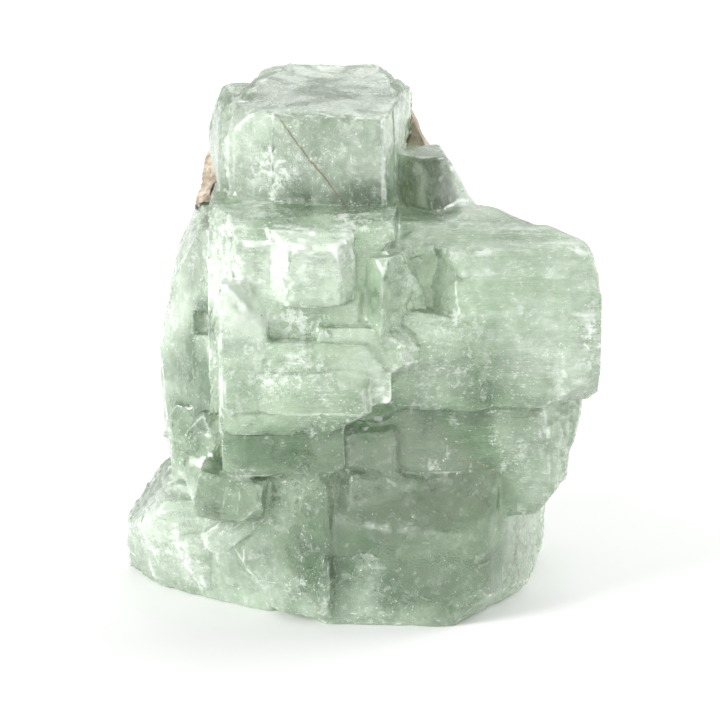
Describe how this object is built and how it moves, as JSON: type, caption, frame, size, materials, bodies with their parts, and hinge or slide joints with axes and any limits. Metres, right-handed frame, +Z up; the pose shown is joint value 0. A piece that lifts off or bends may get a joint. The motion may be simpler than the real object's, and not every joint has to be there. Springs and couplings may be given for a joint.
{
  "type": "apophyllite crystal cluster",
  "caption": "Freestanding cluster of pale green, see-through, blocky apophyllite crystals grown together, with a patch of brown matrix behind the crowning crystal.",
  "frame": {"origin": "middle of the bounding box at its underside, on the flat cut that the cluster stands on", "axes": "+Z up through the crowning crystal; -Y towards the side that is shown, which has the slabs and the crystal in its hollow; +X towards the striated barrel at the upper right"},
  "size_m": [0.075, 0.0546, 0.0824],
  "materials": {
    "apophyllite": "pale green to white crystal, see-through and cloudy inside, glassy faces with fine striation, pearly on the end faces",
    "matrix": "dull, rough, brown-grey rock"
  },
  "bodies": {
    "root": {"apophyllite_cluster": "apophyllite", "brown_matrix": "matrix"}
  },
  "joints": []
}
